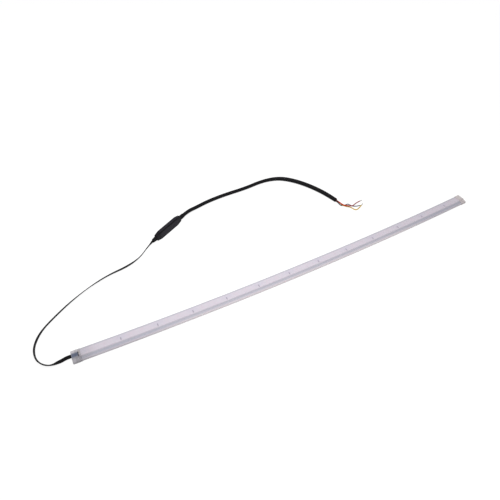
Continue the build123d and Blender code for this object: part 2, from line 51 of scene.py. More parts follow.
pad_half_width = 0.0008
pad_edge = 0.0001
pad_spread = 0.0022


class Shade:
    """A value in a material's nodes: sums on it add Math nodes, and node() adds any other node."""

    def __init__(self, tree, socket):
        self.tree = tree
        self.socket = socket

    def node(self, kind, settings, inputs, output=0):
        made = self.tree.nodes.new(kind)
        for name, value in settings.items():
            if name == "stops":
                row = made.color_ramp.elements
                row[0].position, row[0].color = value[0]
                row[1].position, row[1].color = value[-1]
                for position, stop_colour in value[1:-1]:
                    row.new(position).color = stop_colour
            else:
                setattr(made, name, value)
        sockets = {socket.identifier: socket for socket in made.inputs}
        for name, value in inputs.items():
            if isinstance(value, Shade):
                self.tree.links.new(value.socket, sockets[name])
            else:
                sockets[name].default_value = value
        return Shade(self.tree, made.outputs[output])

    def math(self, operation, first, second=0.0):
        values = {"Value": first, "Value_001": second}
        return self.node("ShaderNodeMath", {"operation": operation}, values)

    def __add__(self, other):
        return self.math("ADD", self, other)

    def __sub__(self, other):
        return self.math("SUBTRACT", self, other)

    def __rsub__(self, other):
        return self.math("SUBTRACT", other, self)

    def __mul__(self, other):
        return self.math("MULTIPLY", self, other)

    def __truediv__(self, other):
        return self.math("DIVIDE", self, other)

    __radd__ = __add__
    __rmul__ = __mul__


def tone(red, green, blue, step=0):
    """A colour written from 0 to 255, a step lighter or darker, as a node's linear colour."""
    parts = [(value + step) / 255 for value in (red, green, blue)]
    return [p / 12.92 if p <= 0.04045 else ((p + 0.055) / 1.055) ** 2.4 for p in parts] + [1.0]


def new_finish(name, fixed):
    """A material with its constant values set, and the object coordinates to paint it by."""
    finish = bpy.data.materials.new(name)
    finish.use_nodes = True
    tree = finish.node_tree
    for socket, value in fixed.items():
        tree.nodes["Principled BSDF"].inputs[socket].default_value = value
    return finish, Shade(tree, tree.nodes.new("ShaderNodeTexCoord").outputs["Object"])


def link_finish(finish, relief=None, depth=0.0, **painted):
    """Links what changes over the surface: base_color, roughness and the like, and a relief."""
    tree = finish.node_tree
    surface = tree.nodes["Principled BSDF"]
    for name, shade in painted.items():
        tree.links.new(shade.socket, surface.inputs[name.replace("_", " ").title()])
    if relief is not None:
        bump = relief.node("ShaderNodeBump", {}, {"Height": relief, "Distance": depth})
        tree.links.new(bump.socket, surface.inputs["Normal"])


def dress(finish, *nodes):
    """Gives solids of the frame their finish."""
    for node in nodes:
        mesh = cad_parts[node].data
        mesh.materials.clear()
        mesh.materials.append(finish)


def grain(place, scale, detail=2.0):
    """Noise from 0 to 1, with the given number of waves per metre."""
    waves = {"Vector": place, "Scale": scale, "Detail": detail}
    return place.node("ShaderNodeTexNoise", {}, waves)


def axes(place):
    """The three coordinates of a place."""
    return [place.node("ShaderNodeSeparateXYZ", {}, {"Vector": place}, axis) for axis in range(3)]


def rise(value, low, high):
    """From 0 at low to 1 at high, smoothly."""
    limits = {"Value": value, "From Min": low, "From Max": high}
    return value.node("ShaderNodeMapRange", {"interpolation_type": "SMOOTHSTEP"}, limits)


def patch(distance, half, soft):
    """1 within half of a line and 0 beyond it, with a soft edge."""
    return rise(distance.math("ABSOLUTE", distance), half + soft, half - soft)


def blend(mask, first, second):
    """A colour that goes from the first to the second where the mask goes from 0 to 1."""
    colours = {"Factor_Float": mask, "A_Color": first, "B_Color": second}
    return mask.node("ShaderNodeMix", {"data_type": "RGBA"}, colours, 2)


def strip_place(place):
    """On the bowed strip: length from the cable end, distance across its middle, and height."""
    x, y, z = axes(place)
    reach = bow_radius - y
    turn = x.math("ARCTAN2", x, reach)
    radius = x.math("SQRT", x * x + reach * reach)
    return turn * bow_radius + strip_length / 2, bow_radius - radius, z


def from_nearest(along, first, pitch):
    """Distance along the strip from the nearest of a row of chips."""
    count = (along - first) / pitch
    return (count - count.math("ROUND", count)) * pitch


circuit_lacquer, place = new_finish("circuit_lacquer", {"Coat Weight": 0.2})
along, across, _ = strip_place(place)
from_cut = from_nearest(along, first_resistor + segment_length / 2, segment_length)
from_pad = from_nearest(across, light_center, pad_spread)
pads = patch(from_cut, pad_half_length, pad_edge) * patch(from_pad, pad_half_width, pad_edge)
lacquer = blend(grain(place, 900), tone(*lacquer_white), tone(*lacquer_white, step=-12))
link_finish(
    circuit_lacquer,
    base_color=blend(pads, lacquer, tone(*pad_copper)),
    roughness=0.38 - pads * 0.1,
    metallic=pads,
    relief=grain(place, 2500),
    depth=0.00002,
)
dress(circuit_lacquer, "led_board")


# Light chips, white and amber in turn: a moulded white frame with a window of cast phosphor or
# resin. They come on reels, and are placed by machine and soldered flat on the circuit.
first_led = 0.016033
led_pitch = segment_length / 6
window_half_length = 0.00095
window_half_width = 0.00130
window_edge = 0.00006
frame_white = (240, 239, 234)
phosphor_yellow = (232, 205, 92)
amber_resin = (236, 178, 112)
for node, first, resin in (
    ("white_leds", first_led, phosphor_yellow),
    ("amber_leds", first_led + led_pitch, amber_resin),
):
    chip_finish, place = new_finish(node + "_finish", {})
    along, across, _ = strip_place(place)
    from_chip = from_nearest(along, first, 2 * led_pitch)
    window = patch(from_chip, window_half_length, window_edge)
    window = window * patch(across - light_center, window_half_width, window_edge)
    resin_colour = blend(grain(place, 3000), tone(*resin), tone(*resin, step=-20))
    link_finish(
        chip_finish,
        base_color=blend(window, tone(*frame_white), resin_colour),
        roughness=0.5 - window * 0.3,
        relief=grain(place, 6000),
        depth=0.00001,
    )
    dress(chip_finish, node)


# Dropping resistors, one at the end of each segment: a ceramic chip with a black glaze on top. Its
# tinned ends are soldered to the circuit, and they show as small dark marks through the silicone.
glaze_half_length = 0.0011
glaze_edge = 0.00005
glaze_black = (38, 36, 42)
tinned_end = (196, 196, 194)
resistor_finish, place = new_finish("resistor_glaze", {})
_, across, _ = strip_place(place)
tin = 1 - patch(across - light_center, glaze_half_length, glaze_edge)
link_finish(
    resistor_finish,
    base_color=blend(tin, tone(*glaze_black), tone(*tinned_end)),
    roughness=0.3 + grain(place, 5000) * 0.15,
    metallic=tin,
)
dress(resistor_finish, "dropping_resistors")


# Solder joints between the ribbon's strands and the circuit: tin alloy that has run along the
# copper. They are made by hand, and the cap is pushed over them.
solder_grey = (190, 189, 186)
solder_finish, place = new_finish("solder_finish", {"Metallic": 1.0})
ripple = grain(place, 1800, 3.0)
link_finish(
    solder_finish,
    base_color=blend(ripple, tone(*solder_grey), tone(*solder_grey, step=-35)),
    roughness=0.22 + ripple * 0.2,
    relief=ripple,
    depth=0.00006,
)
dress(solder_finish, "solder_joints")


# Sleeve of the strip: milky silicone, extruded in one piece with a light body over the chips and a
# thinner flange beside it. It is soft and satin. The resistors show through it as faint marks. It
# is greyer where it is thin, at the flange, and its colour carries painted shade at the foot of the
# slope, where it turns away at the far edge, and towards both ends of the flange, with painted
# light on the flange's outer side.
# Colour across the section, with painted shade at the foot of the slope and at the far edge, where
# the surface turns from the light, and painted light on the flange's side; the flange is also
# greyer where the silicone is thin.
shade_stops = [
    (-0.0084, (234, 224, 229)),  # side of the flange
    (-0.0074, (229, 220, 225)),
    (-0.0062, (209, 204, 213)),  # top of the flange
    (-0.0046, (196, 195, 206)),  # foot of the slope
    (-0.0036, (196, 195, 206)),
    (-0.0025, (214, 208, 219)),  # shoulder
    (-0.0018, (226, 218, 229)),  # light face
    (0.0048, (227, 219, 230)),
    (0.0060, (210, 206, 216)),  # far edge
    (0.0067, (201, 199, 210)),
    (0.0074, (203, 201, 211)),
]
top_edge = (0.0042, 0.0048)
chips_half_width = 0.0026
chips_soft = 0.0022
pink_shade = (226, 212, 222)
pink_half_length = 0.0016
pink_soft = 0.0030
pink_share = 0.5
blue_shade = (217, 213, 228)
blue_half_length = 0.0070
blue_soft = 0.0060
blue_share = 0.6
mark_colour = (126, 116, 138)
mark_first = 0.0583
mark_pitch = 0.04587
mark_half_length = 0.0006
mark_end_soft = 0.0006
mark_across = 0.0006
mark_half_width = 0.0019
mark_side_soft = 0.0010
mark_share = 0.66
marks_start = (0.030, 0.034)
# Painted shade on the flange and its edge, darker and bluer towards both ends of the strip, where
# less light falls.
flange_end_shade = (134, 144, 172)
flange_end_shade_shares = [
    (0.010, 0.26),
    (0.080, 0.23),
    (0.150, 0.03),
    (0.460, 0.00),
    (0.530, 0.26),
    (0.590, 0.26),
]
flange_inner = (-0.0030, -0.0054)
flange_outer = (-0.0092, -0.0074)
# Painted light on the flange's outer side, which faces away from the light, along the middle of the
# strip.
side_painted_light = (250, 242, 247)
side_inner = (-0.0070, -0.0077)
side_top = (0.0034, 0.0024)
side_start = (0.060, 0.140)
side_stop = (0.560, 0.480)
side_light_share = 0.6
near_cap_grey = (146, 145, 149)
near_cap_fade = (0.032, 0.010)
near_cap_slope = (-0.0018, -0.0032)
near_cap_share = 0.26
near_cap_flange_share = 0.12
glue_cream = (184, 172, 148)
glue_along = 0.0094
glue_half_length = 0.0007
glue_end_soft = 0.0005
glue_across = 0.0036
glue_half_width = 0.0018
glue_side_soft = 0.0008
glue_share = 0.8
drawn_along = 20
drawn_across = 2600
silicone, place = new_finish(
    "milky_silicone",
    {
        "IOR": 1.41,
        "Subsurface Weight": 0.15,
        "Subsurface Radius": (0.0022, 0.0018, 0.0020),
        "Subsurface Scale": 1.0,
    },
)
along, across, height = strip_place(place)
shade_low, shade_high = shade_stops[0][0], shade_stops[-1][0]
shade_span = shade_high - shade_low
section_stops = [((at - shade_low) / shade_span, tone(*stop)) for at, stop in shade_stops]
section = (across - shade_low) / shade_span
section_shade = section.node("ShaderNodeValToRGB", {"stops": section_stops}, {"Fac": section})
on_top = rise(height, *top_edge)
over_chips = patch(across - light_center, chips_half_width, chips_soft) * on_top
from_amber = from_nearest(along, first_led + led_pitch, 2 * led_pitch)
over_amber = patch(from_amber, pink_half_length, pink_soft)
from_mark = from_nearest(along, mark_first, mark_pitch)
near_mark = patch(from_mark, blue_half_length, blue_soft) * over_chips
mark = patch(from_mark, mark_half_length, mark_end_soft)
mark = mark * patch(across - mark_across, mark_half_width, mark_side_soft)
mark = mark * on_top * rise(along, *marks_start)
# Mask of the painted shade on the flange towards both ends of the strip.
run = along / strip_length
run_stops = [(at / strip_length, (share, share, share, 1.0)) for at, share in flange_end_shade_shares]
flange = run.node("ShaderNodeValToRGB", {"stops": run_stops}, {"Fac": run})
flange = flange * rise(across, *flange_inner) * rise(across, *flange_outer)
# Mask of the painted light on the flange's outer side.
side = rise(across, *side_inner) * rise(height, *side_top)
side = side * rise(along, *side_start) * rise(along, *side_stop)
near_cap = rise(across, *near_cap_slope) * near_cap_flange_share + near_cap_share
near_cap = rise(along, *near_cap_fade) * near_cap
glue = patch(along - glue_along, glue_half_length, glue_end_soft)
glue = glue * patch(across - glue_across, glue_half_width, glue_side_soft)
sleeve_colour = section_shade
for mask, layer in (
    (over_amber * over_chips * pink_share, pink_shade),
    (near_mark * blue_share, blue_shade),
    (mark * mark_share, mark_colour),
    (flange, flange_end_shade),
    (side * side_light_share, side_painted_light),
    (near_cap, near_cap_grey),
    (glue * on_top * glue_share, glue_cream),
):
    sleeve_colour = blend(mask, sleeve_colour, tone(*layer))
stretched = {"X": along * drawn_along, "Y": across * drawn_across, "Z": height * drawn_across}
drawn = grain(place.node("ShaderNodeCombineXYZ", {}, stretched), 1.0, 3.0)
satin = grain(place, 5200)
link_finish(
    silicone,
    base_color=sleeve_colour,
    roughness=0.40 + drawn * 0.12,
    relief=drawn * 0.6 + satin * 0.4,
    depth=0.00004,
)
dress(silicone, "light_sleeve")


# End caps: clearer silicone, each moulded as a socket that is glued over the sleeve's end. The
# cable cap has a solid end that grips the ribbon, whose blue-grey end and dark joint show through
# it, and then a nearly clear lip over the sleeve. The far cap is closed.
# The flange half of each cap is darker: partly the thinner silicone, partly painted shade on its
# lower, front-facing side.
cap_rows = (
    ("cable_end_cap", (222, 218, 222), (184, 181, 187)),
    ("blind_end_cap", (249, 240, 240), (238, 228, 229)),
)
cap_cover = 0.72
cap_slope = (0.0004, -0.0014)
cloud_grey = (120, 118, 122)
cloud_share = 0.16
cloud_cover = 0.08
tail_seen = (70, 84, 112)
tail_start = (-0.0012, 0.0012)
tail_end = 0.0081
tail_end_soft = 0.0003
tail_across = 0.0009
tail_half_width = 0.0030
tail_side_soft = 0.0018
tail_share = 0.9
tail_cover = 0.15
joint_seen = (46, 40, 41)
joint_half_length = 0.0005
joint_end_soft = 0.0003
joint_across = 0.0006
joint_half_width = 0.0036
joint_side_soft = 0.0010
joint_share = 0.9
joint_cover = 0.4
solid_end = (0.0046, 0.0036)
solid_cover = 0.24
lip_soft = 0.0006
lip_end = (0.020, 0.018)
lip_clear = 0.7
for node, body_tint, flange_tint_and_shade in cap_rows:
    cap_finish, place = new_finish(node + "_silicone", {"IOR": 1.41})
    along, across, _ = strip_place(place)
    cloud = grain(place, 320, 3.0)
    tail = patch(across - tail_across, tail_half_width, tail_side_soft)
    tail = tail * rise(along, tail_end + tail_end_soft, tail_end - tail_end_soft)
    tail = tail * rise(along, *tail_start)
    joint = patch(along - tail_end, joint_half_length, joint_end_soft)
    joint = joint * patch(across - joint_across, joint_half_width, joint_side_soft)
    solid = rise(along, *solid_end) * solid_cover
    lip = rise(along, tail_end, tail_end + lip_soft) * rise(along, *lip_end) * lip_clear
    cap_colour = blend(rise(across, *cap_slope), tone(*body_tint), tone(*flange_tint_and_shade))
    cap_colour = blend(cloud * cloud_share, cap_colour, tone(*cloud_grey))
    cap_colour = blend(tail * tail_share, cap_colour, tone(*tail_seen))
    cover = cap_cover + cloud * cloud_cover + solid + tail * tail_cover
    link_finish(
        cap_finish,
        base_color=blend(joint * joint_share, cap_colour, tone(*joint_seen)),
        roughness=0.30 + grain(place, 3800) * 0.16,
        alpha=cover * (1 - lip) + joint * joint_cover,
        relief=grain(place, 2600),
        depth=0.00004,
    )
    dress(cap_finish, node)


# Foam tape under the strip: closed-cell acrylic foam with adhesive on both faces, slit to width.
# It is rolled on between the caps, and it holds the strip to the car.
foam_grey = (96, 96, 99)
foam, place = new_finish("foam_tape", {})
cells = place.node("ShaderNodeTexVoronoi", {}, {"Vector": place, "Scale": 2200})
link_finish(
    foam,
    base_color=blend(cells, tone(*foam_grey, step=-22), tone(*foam_grey)),
    roughness=0.72 + grain(place, 700) * 0.2,
    relief=cells,
    depth=0.00012,
)
dress(foam, "mounting_tape")


# Ribbon between the strip and the controller: three stranded cores side by side in black PVC. It is
# free from the cap to the controller's boot, lies on edge for most of its length and twists flat at
# the cap. Its end inside the cap looks bluer.
ribbon_route = [
    (-0.299693, 0.011125, 0.00240),
    (-0.309977, 0.011690, 0.00240),
    (-0.325093, 0.009125, 0.00265),
    (-0.335993, 0.020025, 0.00265),
    (-0.337993, 0.034925, 0.00265),
    (-0.333293, 0.049325, 0.00265),
    (-0.321993, 0.063725, 0.00265),
    (-0.302993, 0.076825, 0.00265),
    (-0.280893, 0.090225, 0.00265),
    (-0.253793, 0.102825, 0.00265),
    (-0.225893, 0.111225, 0.00265),
    (-0.199993, 0.113825, 0.00265),
    (-0.178705, 0.121086, 0.00290),
    (-0.162361, 0.133183, 0.00560),
    (-0.152505, 0.139686, 0.00640),
]
ribbon_twist = [
    (0.000, 0),
    (0.011, 0),
    (0.028, -52),
    (0.040, -68),
    (0.050, -80),
    (0.069, -92),
    (0.096, -111),
    (0.114, -113),
    (0.165, -130),
    (0.187, -120),
    (0.223, -108),
    (0.244, -122),
    (0.258, -119),
    (0.266, -113),
    (0.2755, -90),
]
ribbon_lift = [
    (0.000, 0.0),
    (0.005, 0.0),
    (0.013, -0.0012),
    (0.018, -0.0007),
    (0.024, -0.0002),
    (0.032, 0.0),
    (0.280, 0.0),
]
route_steps = 14
core_count = 3
core_radius = 0.0009
core_pitch = 0.0017
core_flat = 0.62
core_steps = 7
web_angle = radians(36)
ribbon_black = (12, 11, 14)
tail_blue = (30, 44, 66)


def smooth_line(route):
    """Points along the smooth line that a cord's route controls."""
    curve = bpy.data.curves.new("route", "CURVE")
    curve.dimensions = "3D"
    curve.resolution_u = route_steps
    spline = curve.splines.new("NURBS")
    spline.points.add(len(route) - 1)
    for point, spot in zip(spline.points, route):
        point.co = (*spot, 1.0)
    spline.order_u = 3
    spline.use_endpoint_u = True
    holder = bpy.data.objects.new("route", curve)
    mesh = bpy.data.meshes.new_from_object(holder)
    line = [vertex.co.copy() for vertex in mesh.vertices]
    bpy.data.objects.remove(holder)
    bpy.data.curves.remove(curve)
    bpy.data.meshes.remove(mesh)
    return line


def between(stops, value):
    """A value read from a list of stops, eased from one stop to the next."""
    for (low, first), (high, second) in zip(stops, stops[1:]):
        if value <= high:
            share = (value - low) / (high - low)
            return first + (second - first) * share * share * (3 - 2 * share)
    return stops[-1][1]


def steady(value):
    """Stops for a value that stays the same."""
    return [(0.0, value), (1.0, value)]


def rings_along(line, twist=steady(0), swell=steady(1), lift=steady(0)):
    """For each point: its place, and the two directions of the cord's section there."""
    rings = []
    run = 0.0
    for index, spot in enumerate(line):
        before, after = line[max(index - 1, 0)], line[min(index + 1, len(line) - 1)]
        run += (spot - before).length
        way = (after - before).normalized()
        side = way.cross(Vector((0, 0, 1))).normalized()
        up = side.cross(way)
        roll = radians(between(twist, run))
        size = between(swell, run)
        wide = side * cos(roll) + up * sin(roll)
        tall = up * cos(roll) - side * sin(roll)
        rings.append((spot + up * between(lift, run), wide * size, tall * size))
    return rings


def skin(name, rings, outline, finish):
    """A closed mesh piece with one outline carried along rings of place, side and up."""
    mesh = bmesh.new()
    loops = []
    for spot, side, up in rings:
        loops.append([mesh.verts.new(spot + side * wide + up * tall) for wide, tall in outline])
    count = len(outline)
    for first, second in zip(loops, loops[1:]):
        for index in range(count):
            other = (index + 1) % count
            corners = (first[index], first[other], second[other], second[index])
            mesh.faces.new(corners).smooth = True
    mesh.faces.new(reversed(loops[0]))
    mesh.faces.new(loops[-1])
    bmesh.ops.recalc_face_normals(mesh, faces=mesh.faces)
    data = bpy.data.meshes.new(name)
    mesh.to_mesh(data)
    mesh.free()
    data.materials.append(finish)
    piece = bpy.data.objects.new(name, data)
    bpy.context.scene.collection.objects.link(piece)
    return piece


def lobes(count, radius, pitch, notch, flat, steps):
    """Outline of cores side by side in one skin, with a shallow groove between each two."""
    upper = []
    for core in range(count):
        middle = (core - (count - 1) / 2) * pitch
        start = pi if core == 0 else pi - notch
        stop = 0.0 if core == count - 1 else notch
        for step in range(steps + 1):
            angle = start + (stop - start) * step / steps
            upper.append((middle + radius * cos(angle), radius * sin(angle) * flat))
    lower = [(-wide, -tall) for wide, tall in upper[1:-1]]
    return upper + lower


ribbon_finish, place = new_finish("ribbon_pvc", {"Specular IOR Level": 0.06})
scuff = grain(place, 260, 4.0)
link_finish(
    ribbon_finish,
    base_color=blend(scuff, tone(*ribbon_black), tone(*ribbon_black, step=10)),
    roughness=0.30 + scuff * 0.16,
    relief=grain(place, 3600),
    depth=0.00003,
)
ribbon_line = smooth_line(ribbon_route)
ribbon = skin(
    "ribbon_three_core",
    rings_along(ribbon_line, twist=ribbon_twist, lift=ribbon_lift),
    lobes(core_count, core_radius, core_pitch, web_angle, core_flat, core_steps),
    ribbon_finish,
)
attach(ribbon, "root")
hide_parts("ribbon_cable")
tail_finish, place = new_finish("ribbon_tail_pvc", {"Specular IOR Level": 0.06})
dusk = grain(place, 260, 4.0)
link_finish(
    tail_finish,
    base_color=blend(dusk, tone(*tail_blue), tone(*tail_blue, step=10)),
    roughness=0.34 + dusk * 0.16,
)
dress(tail_finish, "ribbon_tail")


# Controller board with its parts: a small laminate that carries the control chip, two switching
# transistors, a diode, capacitors and resistors. It is soldered by machine and sits on the tray's
# posts, and the stripped cores of the ribbon and the lead are soldered to its ends.
board_parts = (
    ("controller_board", (34, 84, 52), 0.35, 0.0),
    ("control_chip", (30, 30, 32), 0.55, 0.0),
    ("power_transistors", (32, 32, 34), 0.55, 0.0),
    ("input_diode", (34, 33, 34), 0.50, 0.0),
    ("filter_capacitors", (150, 118, 84), 0.40, 0.0),
    ("chip_resistors", (36, 36, 40), 0.35, 0.0),
    ("ribbon_core_ends", (188, 186, 180), 0.30, 1.0),
    ("lead_core_ends", (188, 186, 180), 0.30, 1.0),
)
for node, part_colour, part_roughness, metal in board_parts:
    part_finish, place = new_finish(node + "_finish", {"Metallic": metal})
    fine = grain(place, 2400, 3.0)
    link_finish(
        part_finish,
        base_color=blend(fine, tone(*part_colour), tone(*part_colour, step=14)),
        roughness=part_roughness + fine * 0.15,
        relief=fine,
        depth=0.00002,
    )
    dress(part_finish, node)


# Controller box: tray and lid in black ABS with a fine spark-eroded texture. They are injection
# moulded and glued along a chamfered seam, and both ends taper towards the boots. Its colour is
# painted darker as shade along the lid's rim and on the tapers, and as a shadow at the foot.
shell_black = (38, 36, 43)
shade_black = (9, 8, 10)
box_place = (-0.1237, 0.1543)
box_heading = radians(26.9)
seam_edge = (0.0014, 0.0017)
rim_edge = (0.0111, 0.0117)
rim_share = 0.85
foot_edge = (0.0030, 0.0006)
foot_share = 0.7
taper_edge = (0.0165, 0.0195)
taper_share = 0.55
shell_finish, place = new_finish("controller_shell", {"Specular IOR Level": 0.08})
spark = grain(place, 3000, 3.0)
shell_cloud = grain(place, 120, 3.0)
x, y, height = axes(place)
from_x, from_y = x - box_place[0], y - box_place[1]
lengthwise = from_x * cos(box_heading) + from_y * sin(box_heading)
sideways = from_x * sin(box_heading) - from_y * cos(box_heading)
# Painted shade along the lid's rim and on the tapers, and a painted shadow at the foot.
rim = rise(sideways, *seam_edge) * rise(height, *rim_edge) * rim_share
foot = rise(height, *foot_edge) * foot_share
taper = rise(lengthwise.math("ABSOLUTE", lengthwise), *taper_edge) * taper_share
shell_shade = 1 - (1 - rim) * (1 - foot) * (1 - taper)
shell_colour = blend(shell_cloud, tone(*shell_black), tone(*shell_black, step=8))
link_finish(
    shell_finish,
    base_color=blend(shell_shade, shell_colour, tone(*shade_black)),
    roughness=0.46 + spark * 0.18,
    relief=spark,
    depth=0.00006,
)
dress(shell_finish, "controller_tray", "controller_lid")


# Boots at the two ends of the box: soft black rubber, moulded round the ribbon and the lead. A
# flange inside the box holds each one in its notch.
boot_black = (13, 12, 15)
boot_finish, place = new_finish("boot_rubber", {"Specular IOR Level": 0.1})
bloom = grain(place, 420, 3.0)
link_finish(
    boot_finish,
    base_color=blend(bloom, tone(*boot_black), tone(*boot_black, step=10)),
    roughness=0.58 + bloom * 0.16,
    relief=grain(place, 4200),
    depth=0.00004,
)
dress(boot_finish, "ribbon_boot", "lead_boot")


# Supply lead: three wires in a round black PVC sheath, free from the controller's boot to a clean
# cut. The sheath is extruded, so it has a soft sheen along its length. It is fuller towards the
# cut, which leaves a thick ring.
lead_route = [
    (-0.094895, 0.168914, 0.00640),
    (-0.084193, 0.174343, 0.00640),
    (-0.069195, 0.179214, 0.00360),
    (-0.047995, 0.184414, 0.00280),
    (-0.017995, 0.186314, 0.00280),
    (0.018005, 0.185314, 0.00280),
    (0.048005, 0.188614, 0.00280),
    (0.074005, 0.183214, 0.00280),
    (0.092005, 0.167814, 0.00280),
    (0.106405, 0.147514, 0.00280),
    (0.117405, 0.124814, 0.00280),
    (0.123205, 0.107614, 0.00280),
    (0.126905, 0.094314, 0.00280),
]
lead_radius = 0.00275
lead_sides = 24
lead_swell = [(0.000, 0.98), (0.140, 0.98), (0.190, 1.20), (0.255, 1.20), (0.280, 1.10)]
lead_lift = [(at, lead_radius * (size - 1)) for at, size in lead_swell]
cut_back = 0.0009
rim_length = 0.0003
rim_size = 0.93
mouth_size = 0.66
mouth_depth = 0.0015
jacket_black = (10, 9, 12)


def round_outline(radius, sides):
    """Outline of a round section with a number of flats."""
    angles = [2 * pi * index / sides for index in range(sides)]
    return [(radius * cos(angle), radius * sin(angle)) for angle in angles]


jacket_finish, place = new_finish("lead_jacket", {"Specular IOR Level": 0.1})
wipe = grain(place, 180, 4.0)
link_finish(
    jacket_finish,
    base_color=blend(wipe, tone(*jacket_black), tone(*jacket_black, step=9)),
    roughness=0.38 + wipe * 0.18,
    relief=grain(place, 2800),
    depth=0.00004,
)
lead_line = smooth_line(lead_route)
lead_rings = rings_along(lead_line, swell=lead_swell, lift=lead_lift)
lead_end, lead_side, lead_up = lead_rings.pop()
lead_way = (lead_line[-1] - lead_line[-2]).normalized()
lead_end = lead_end - lead_way * cut_back
for depth, size in (
    (rim_length, 1.0),
    (0.0, rim_size),
    (0.0, mouth_size),
    (mouth_depth, mouth_size),
):
    lead_rings.append((lead_end - lead_way * depth, lead_side * size, lead_up * size))
lead_outline = round_outline(lead_radius, lead_sides)
lead = skin("lead_sheathed", lead_rings, lead_outline, jacket_finish)
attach(lead, "root")
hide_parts("lead_sheath")


# Red, black and yellow wires: stranded copper in thin coloured PVC, stripped of the sheath by hand.
# They fan out from the cut sheath, which shades them, and their colour shifts towards the ends. The
# black wire's lighter grey-blue end is a painted reflection of the white room.
# Each ends in a short length of bare, twisted, tinned strands.
wire_radius = 0.00075
wire_sides = 14
strand_count = 6
strand_radius = 0.000165
strand_lay = 0.00033
strand_turns = 0.6
strand_steps = 16
strand_sides = 8
bare_length = 0.004
tin_grey = (176, 172, 166)
worn_grey = (70, 64, 62)
worn_share = 0.15
fade_edge = (0.1325, 0.1405)
sheath_shade = (44, 24, 18)
sheath_edge = (0.0872, 0.0925)
sheath_share = 0.85
wire_rows = (
    (
        "red",
        (214, 52, 36),
        (164, 0, 20),
        0.0499,
        [
            (0.126503, 0.095759, 0.00372),
            (0.128245, 0.089497, 0.00372),
            (0.129005, 0.080214, 0.00450),
            (0.134405, 0.076014, 0.00420),
            (0.141005, 0.072014, 0.00340),
            (0.151605, 0.077714, 0.00120),
            (0.160205, 0.078714, 0.00080),
        ],
    ),
    (
        "black",
        (13, 15, 15),
        # Far colour of the black wire: a painted reflection of the white room.
        (116, 116, 130),
        0.0430,
        [
            (0.125735, 0.095545, 0.00234),
            (0.127210, 0.090246, 0.00234),
            (0.127700, 0.083600, 0.00080),
            (0.133600, 0.081300, 0.00080),
            (0.140105, 0.082214, 0.00080),
            (0.142005, 0.075314, 0.00080),
            (0.147405, 0.071414, 0.00080),
            (0.153705, 0.070414, 0.00080),
        ],
    ),
    (
        "yellow",
        (206, 156, 30),
        (228, 184, 40),
        0.0492,
        [
            (0.127271, 0.095972, 0.00234),
            (0.129013, 0.089710, 0.00234),
            (0.128805, 0.083414, 0.00270),
            (0.131805, 0.077214, 0.00270),
            (0.139205, 0.074214, 0.00080),
            (0.141905, 0.064114, 0.00080),
            (0.149505, 0.066014, 0.00140),
            (0.154805, 0.068314, 0.00260),
        ],
    ),
)


def strand_tree():
    """Geometry nodes for a bundle of twisted strands that stands on the origin along +Z."""
    tree = bpy.data.node_groups.new("twisted_strands", "GeometryNodeTree")
    face = tree.interface
    for name, kind in (
        ("Strands", "NodeSocketInt"),
        ("Strand Radius", "NodeSocketFloat"),
        ("Lay Radius", "NodeSocketFloat"),
        ("Length", "NodeSocketFloat"),
        ("Turns", "NodeSocketFloat"),
        ("Finish", "NodeSocketMaterial"),
    ):
        face.new_socket(name, in_out="INPUT", socket_type=kind)
    face.new_socket("Geometry", in_out="OUTPUT", socket_type="NodeSocketGeometry")
    sizes = tree.nodes.new("NodeGroupInput").outputs

    def add(kind, **inputs):
        made = tree.nodes.new(kind)
        sockets = {socket.identifier.replace(" ", "_"): socket for socket in made.inputs}
        for name, value in inputs.items():
            if isinstance(value, bpy.types.NodeSocket):
                tree.links.new(value, sockets[name])
            else:
                sockets[name].default_value = value
        return made.outputs

    def sums(operation, first, second=0.0):
        outputs = add("ShaderNodeMath", Value=first, Value_001=second)
        outputs[0].node.operation = operation
        return outputs[0]

    top = add("ShaderNodeCombineXYZ", Z=sizes["Length"])[0]
    core = add("GeometryNodeCurvePrimitiveLine", End=top)[0]
    core = add("GeometryNodeResampleCurve", Curve=core, Count=strand_steps)[0]
    share = add("GeometryNodeSplineParameter")["Factor"]
    angle = sums("MULTIPLY", sums("MULTIPLY", share, sizes["Turns"]), 2 * pi)
    sway = add(
        "ShaderNodeCombineXYZ",
        X=sums("MULTIPLY", sums("COSINE", angle), sizes["Lay Radius"]),
        Y=sums("MULTIPLY", sums("SINE", angle), sizes["Lay Radius"]),
    )[0]
    helix = add("GeometryNodeSetPosition", Geometry=core, Offset=sway)[0]
    section = {"Resolution": strand_sides, "Radius": sizes["Strand Radius"]}
    ring = add("GeometryNodeCurvePrimitiveCircle", **section)[0]
    profile = {"Profile_Curve": ring, "Fill_Caps": True}
    straight = add("GeometryNodeCurveToMesh", Curve=core, **profile)[0]
    twisted = add("GeometryNodeCurveToMesh", Curve=helix, **profile)[0]
    seats = add("GeometryNodePoints", Count=sizes["Strands"])[0]
    index = add("GeometryNodeInputIndex")[0]
    step = sums("MULTIPLY", sums("DIVIDE", index, sizes["Strands"]), 2 * pi)
    turned = add("ShaderNodeCombineXYZ", Z=step)[0]
    turned = add("FunctionNodeEulerToRotation", Euler=turned)[0]
    placed = {"Points": seats, "Instance": twisted, "Rotation": turned}
    laid = add("GeometryNodeInstanceOnPoints", **placed)[0]
    join = tree.nodes.new("GeometryNodeJoinGeometry")
    tree.links.new(straight, join.inputs[0])
    tree.links.new(laid, join.inputs[0])
    whole = add("GeometryNodeRealizeInstances", Geometry=join.outputs[0])[0]
    whole = add("GeometryNodeSetMaterial", Geometry=whole, Material=sizes["Finish"])[0]
    tree.links.new(whole, tree.nodes.new("NodeGroupOutput").inputs[0])
    return tree


